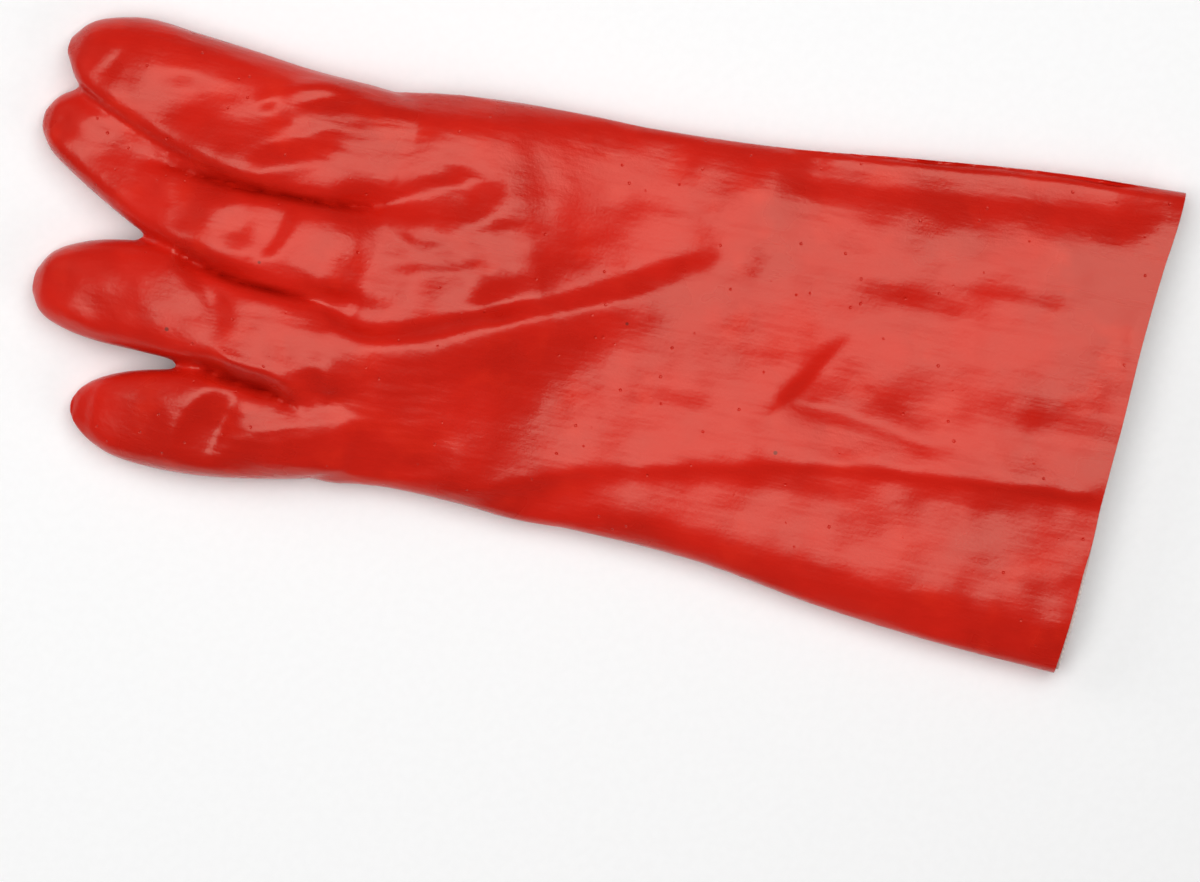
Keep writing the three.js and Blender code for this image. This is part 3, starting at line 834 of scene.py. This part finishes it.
class NodeBench:
    """Lays out the nodes of one material, so that each is one short call."""

    def __init__(self, name):
        self.material = bpy.data.materials.new(name)
        self.material.use_nodes = True
        self.tree = self.material.node_tree
        self.tree.nodes.clear()
        self.coords = self.add("ShaderNodeTexCoord").outputs["Object"]

    def feed(self, socket, value):
        """Links a socket to another node's output, or sets its value."""
        if isinstance(value, bpy.types.NodeSocket):
            self.tree.links.new(value, socket)
        else:
            socket.default_value = value

    def add(self, kind, settings=None, **inputs):
        """A node with its settings and inputs. A space in an input's name is written as _."""
        node = self.tree.nodes.new(kind)
        for key, value in (settings or {}).items():
            setattr(node, key, value)
        for key, value in inputs.items():
            self.feed(node.inputs[key.replace("_", " ")], value)
        return node

    def placed(self, scale):
        """Object coordinates in millimetres divided by the pattern's size along each axis."""
        node = self.add("ShaderNodeMapping", Vector=self.coords)
        node.inputs["Scale"].default_value = [1000.0 / s for s in scale]
        return node.outputs[0]

    def noise(self, size, detail=2.0, rough=0.5, stretch=(1, 1, 1)):
        """Noise whose clouds are about size millimetres across, stretched along each axis."""
        vector = self.placed([size * s for s in stretch])
        return self.add("ShaderNodeTexNoise", Vector=vector, Scale=1.0, Detail=detail,
                        Roughness=rough).outputs["Fac"]

    def spots(self, size):
        """Distance to the nearest of scattered points, in cells of size millimetres."""
        return self.add("ShaderNodeTexVoronoi", {"feature": "F1"}, Vector=self.placed((size, size, size)),
                        Scale=1.0, Randomness=1.0).outputs["Distance"]

    def stripes(self, direction, scale, distortion):
        """Soft bands along one axis, bent a little."""
        settings = {"wave_type": "BANDS", "bands_direction": direction}
        return self.add("ShaderNodeTexWave", settings, Vector=self.placed((1.0, 1.0, 1.0)), Scale=scale,
                        Distortion=distortion, Detail=1.0).outputs["Fac"]

    def ramp(self, value, low, high, to_low=0.0, to_high=1.0):
        """Smoothstep from one number to another while the value runs from low to high."""
        node = self.add("ShaderNodeMapRange", {"interpolation_type": "SMOOTHSTEP"}, Value=value)
        for name, number in (("From Min", low), ("From Max", high), ("To Min", to_low), ("To Max", to_high)):
            node.inputs[name].default_value = number
        return node.outputs["Result"]

    def maths(self, operation, a, b):
        """Two values put together by an operation."""
        node = self.add("ShaderNodeMath", {"operation": operation})
        self.feed(node.inputs[0], a)
        self.feed(node.inputs[1], b)
        return node.outputs[0]

    def blend(self, share, a, b):
        """Colour a where the share is 0, b where it is 1."""
        node = self.add("ShaderNodeMix", {"data_type": "RGBA"})
        for number, value in ((0, share), (6, a), (7, b)):
            self.feed(node.inputs[number], value)
        return node.outputs[2]

    def bump(self, height, distance, strength=1.0, normal=None):
        """A bump of so many millimetres, on top of another one if a normal is given."""
        inputs = {"Height": height, "Distance": distance * MM, "Strength": strength}
        if normal is not None:
            inputs["Normal"] = normal
        return self.add("ShaderNodeBump", **inputs).outputs[0]

    def finish(self, shader):
        """Joins the shader to the surface and gives the material."""
        self.tree.links.new(shader.outputs[0], self.add("ShaderNodeOutputMaterial").inputs["Surface"])
        return self.material


def dipped_pvc(base):
    """Glossy dipped PVC: saturated red with soft clouds of tone, orange peel, faint weave of the cotton
    under it, streaks from the dipping that run along the glove, small pits, a few dark specks, gloss
    that varies, and painted shade in the creases between the fingers, which are also dull."""
    b = NodeBench("Dipped red PVC")
    clouds = b.noise(38.0, 3.0, 0.55)
    streaks = b.noise(2.6, 2.0, 0.5, stretch=(11, 1, 1))
    dark = tinted(base, 0.80)
    light = (min(base[0] * 1.10, 1.0), base[1] * 1.7, base[2] * 1.5, 1.0)
    color = b.blend(b.ramp(clouds, 0.32, 0.70), dark, tinted(base))
    color = b.blend(b.ramp(b.noise(14.0, 2.0), 0.52, 0.78, 0.0, 0.5), color, light)
    color = b.blend(b.ramp(streaks, 0.60, 0.82, 0.0, 0.25), color, dark)
    rough = b.ramp(clouds, 0.25, 0.75, 0.24, 0.34)
    rough = b.maths("ADD", rough, b.ramp(streaks, 0.50, 0.80, 0.0, 0.07))
    swell = b.bump(b.noise(6.5, 2.0, 0.5, stretch=(1.7, 1.0, 1.0)), 0.16)
    peel = b.bump(b.noise(2.2, 3.0, 0.6, stretch=(1.4, 1.0, 1.0)), 0.085, normal=swell)
    weave = b.bump(b.noise(0.80, 1.0, 0.5, stretch=(1.0, 1.3, 1.0)), 0.032, normal=peel)
    ridges = b.bump(streaks, 0.12, normal=weave)
    pits = b.bump(b.ramp(b.spots(6.5), 0.03, 0.09), 0.25, 0.8, normal=ridges)
    specks = b.ramp(b.spots(24.0), 0.020, 0.034, 0.75, 0.0)
    color = b.blend(specks, color, (0.10, 0.006, 0.004, 1.0))
    # Painted shade: in the creases between the fingers the colour falls to half the base, and the gloss is
    # duller.
    painted_crease_shade = b.add("ShaderNodeAttribute", {"attribute_name": "painted_crease_shade"}).outputs["Fac"]
    color = b.blend(painted_crease_shade, color, tinted(base, 0.50))
    rough = b.maths("ADD", rough, b.ramp(painted_crease_shade, 0.0, 1.0, 0.0, 0.4))
    shader = b.add("ShaderNodeBsdfPrincipled", Base_Color=color, Roughness=rough, Normal=pits, IOR=1.5,
                   Specular_IOR_Level=b.ramp(painted_crease_shade, 0.0, 0.8, 0.5, 0.0),
                   Specular_Tint=(1.0, 0.82, 0.66, 1.0))
    return b.finish(shader)


def cotton_jersey(base):
    """Off-white cotton jersey: columns and rows of small stitches, fuzz, and a little tone from the
    dye."""
    b = NodeBench("Cotton jersey")
    knit = b.maths("MULTIPLY", b.stripes("Y", 0.18, 1.2), b.stripes("X", 0.26, 1.6))
    color = b.blend(b.ramp(knit, 0.1, 0.8), tinted(base, 0.78), tinted(base))
    dyed = (base[0] * 0.97, base[1] * 0.74, base[2] * 0.70, 1.0)
    color = b.blend(b.ramp(b.noise(6.0, 3.0), 0.45, 0.8, 0.0, 0.35), color, dyed)
    fuzz = b.bump(b.noise(0.35, 2.0), 0.05)
    shader = b.add("ShaderNodeBsdfPrincipled", Base_Color=color, Roughness=0.95, Sheen_Weight=0.3,
                   Normal=b.bump(knit, 0.22, normal=fuzz))
    return b.finish(shader)


def pale_board(base):
    """Matt pale board with a barely visible grain."""
    b = NodeBench("Pale board")
    grain = b.noise(3.0, 3.0)
    color = b.blend(b.ramp(grain, 0.3, 0.7), tinted(base, 0.985), tinted(base))
    shader = b.add("ShaderNodeBsdfPrincipled", Base_Color=color, Roughness=0.9,
                   Normal=b.bump(grain, 0.03))
    return b.finish(shader)


class CoatingSizes(bpy.types.PropertyGroup):
    skin: bpy.props.FloatProperty(
        name="Skin fineness", description="Side of the skin's facets", default=0.00128, min=0.0005,
        unit="LENGTH")
    hollow: bpy.props.FloatProperty(
        name="Hollow fineness", description="Spacing of the rings of the inner wall", default=0.003,
        min=0.001, unit="LENGTH")
    color: bpy.props.FloatVectorProperty(
        name="Coating", description="Colour of the PVC", default=(0.67, 0.011, 0.004), size=3, min=0,
        max=1, subtype="COLOR")


class LiningSizes(bpy.types.PropertyGroup):
    depth: bpy.props.FloatProperty(
        name="Depth", description="How far the lining runs into the glove", default=0.150, min=0.02,
        unit="LENGTH")
    thickness: bpy.props.FloatProperty(
        name="Thickness", description="Thickness of the cotton", default=0.001, min=0.0003, unit="LENGTH")
    color: bpy.props.FloatVectorProperty(
        name="Cotton", description="Colour of the cotton", default=(0.82, 0.74, 0.69), size=3, min=0,
        max=1, subtype="COLOR")


class StageSizes(bpy.types.PropertyGroup):
    view_width: bpy.props.FloatProperty(
        name="View width", description="Width of the view at the glove", default=0.3757, unit="LENGTH")
    view_turn: bpy.props.FloatProperty(
        name="View turn", description="How far the picture is turned about the vertical",
        default=math.radians(11.45), subtype="ANGLE")
    height: bpy.props.FloatProperty(
        name="Camera height", description="Height of the camera over the glove", default=1.6, unit="LENGTH")
    floor: bpy.props.FloatVectorProperty(
        name="Floor", description="Colour of the floor", default=(1.0, 1.0, 1.0), size=3, min=0, max=1,
        subtype="COLOR")


class GLOVE_OT_coating(bpy.types.Operator):
    """Adds the dipped coating, one skin over gauntlet, palm, fingers and thumb, hollow from the cuff"""
    bl_idname = "glove.coating"
    bl_label = "Add coating"

    def execute(self, context):
        sizes = context.scene.glove_coating
        outer_end = GAUNTLET_LENGTH + PALM_LENGTH * (BODY[-1, 0] - 1)
        outer = [body_grid(-OUTER_SPARE, outer_end, 0.0, BODY_STEP)]
        outer += [finger_grid(name) for name in FINGERS]
        outer.append(thumb_grid())
        piece = new_object("glove_coating", closed_tubes("glove_coating", outer))
        remesh(piece, sizes.skin)
        largest_part(piece.data)
        soften(piece.data, *SKIN_PASSES)
        blend_roots(piece.data)
        fold_surface(piece.data)
        soften(piece.data, *LAST_PASSES)
        set_down(piece.data)
        hollow_end = GAUNTLET_LENGTH + PALM_LENGTH * HOLLOW_END
        inner = new_object("hollow", closed_tubes("hollow", [
            body_grid(-HOLLOW_SPARE, hollow_end, WALL, sizes.hollow / MM)]))
        fold_surface(inner.data)
        cut_away(piece, inner)
        cut_away(piece, cuff_cutter())
        shade_smooth(piece.data)
        mark_creases(piece.data)
        piece.data.materials.clear()
        piece.data.materials.append(dipped_pvc(sizes.color))
        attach(piece, "root")
        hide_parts("shell")
        return {"FINISHED"}


class GLOVE_OT_lining(bpy.types.Operator):
    """Adds the cotton lining, a sleeve inside the gauntlet whose cut edge shows at the cuff"""
    bl_idname = "glove.lining"
    bl_label = "Add lining"

    def execute(self, context):
        sizes = context.scene.glove_lining
        depth, inset = sizes.depth / MM, WALL + LINING_GAP
        outside, inside = (lining_wall(at, depth) for at in (inset, inset + sizes.thickness / MM))
        grid = np.concatenate([outside, inside[::-1]], axis=0)
        faces = grid_faces(*grid.shape[:2], closed_rows=True)
        piece = new_object("glove_lining", new_mesh("glove_lining", to_frame(grid), faces))
        shade_smooth(piece.data)
        piece.data.materials.append(cotton_jersey(sizes.color))
        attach(piece, "root")
        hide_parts("liner")
        return {"FINISHED"}


class GLOVE_OT_stage(bpy.types.Operator):
    """Adds the pale floor, the soft lights and the camera straight above the glove"""
    bl_idname = "glove.stage"
    bl_label = "Add stage"

    def execute(self, context):
        scene, sizes = context.scene, context.scene.glove_stage
        corners = np.array([(-1, -1, 0), (1, -1, 0), (1, 1, 0), (-1, 1, 0)]) * FLOOR_HALF
        mesh = new_mesh("floor", corners, [(0, 1, 2, 3)])
        mesh.materials.append(pale_board(sizes.floor))
        new_object("floor", mesh)

        data = bpy.data.cameras.new("camera")
        data.sensor_width = SENSOR_WIDTH
        data.lens = SENSOR_WIDTH * sizes.height / sizes.view_width
        data.clip_end = CAMERA_REACH
        camera = bpy.data.objects.new("camera", data)
        camera.location = Vector(CAMERA_AIM) + Vector((0, 0, sizes.height))
        camera.rotation_euler = (0, 0, sizes.view_turn)
        scene.collection.objects.link(camera)
        scene.camera = camera

        for light in LIGHTS:
            self.add_light(scene, *light)

        world = bpy.data.worlds.new("studio")
        world.use_nodes = True
        background = world.node_tree.nodes["Background"]
        background.inputs["Color"].default_value = (1.0, 1.0, 1.0, 1.0)
        background.inputs["Strength"].default_value = SURROUNDINGS
        scene.world = world
        scene.view_settings.view_transform = "Standard"
        return {"FINISHED"}

    @staticmethod
    def add_light(scene, name, place, target, size, power):
        """A soft rectangular light at a place, aimed at a target."""
        data = bpy.data.lights.new(name, "AREA")
        data.shape = "RECTANGLE"
        data.size, data.size_y = size
        data.energy = power
        light = bpy.data.objects.new(name, data)
        light.location = place
        light.rotation_euler = (Vector(target) - Vector(place)).to_track_quat("-Z", "Y").to_euler()
        light.visible_camera = False
        light.visible_glossy = name == GLOSSY_LIGHT
        scene.collection.objects.link(light)


class GLOVE_PT_panel(bpy.types.Panel):
    """Sizes and colours of the glove"""
    bl_idname = "GLOVE_PT_panel"
    bl_label = "Glove"
    bl_space_type = "VIEW_3D"
    bl_region_type = "UI"
    bl_category = "Glove"

    def draw(self, context):
        for name, operator in (("glove_stage", "glove.stage"), ("glove_coating", "glove.coating"),
                               ("glove_lining", "glove.lining")):
            group = getattr(context.scene, name)
            for prop_name in group.__annotations__:
                self.layout.prop(group, prop_name)
            self.layout.operator(operator)


CLASSES = (CoatingSizes, LiningSizes, StageSizes, GLOVE_OT_coating, GLOVE_OT_lining, GLOVE_OT_stage,
           GLOVE_PT_panel)


def register():
    """Registers the classes and gives the scene their settings."""
    for item in CLASSES:
        bpy.utils.register_class(item)
    bpy.types.Scene.glove_coating = bpy.props.PointerProperty(type=CoatingSizes)
    bpy.types.Scene.glove_lining = bpy.props.PointerProperty(type=LiningSizes)
    bpy.types.Scene.glove_stage = bpy.props.PointerProperty(type=StageSizes)


def unregister():
    """Takes the settings and the classes away again."""
    for name in ("glove_coating", "glove_lining", "glove_stage"):
        delattr(bpy.types.Scene, name)
    for item in reversed(CLASSES):
        bpy.utils.unregister_class(item)


def main():
    """Builds the stage and the glove."""
    register()
    bpy.ops.glove.stage()
    bpy.ops.glove.coating()
    bpy.ops.glove.lining()


if __name__ == "__main__":
    main()
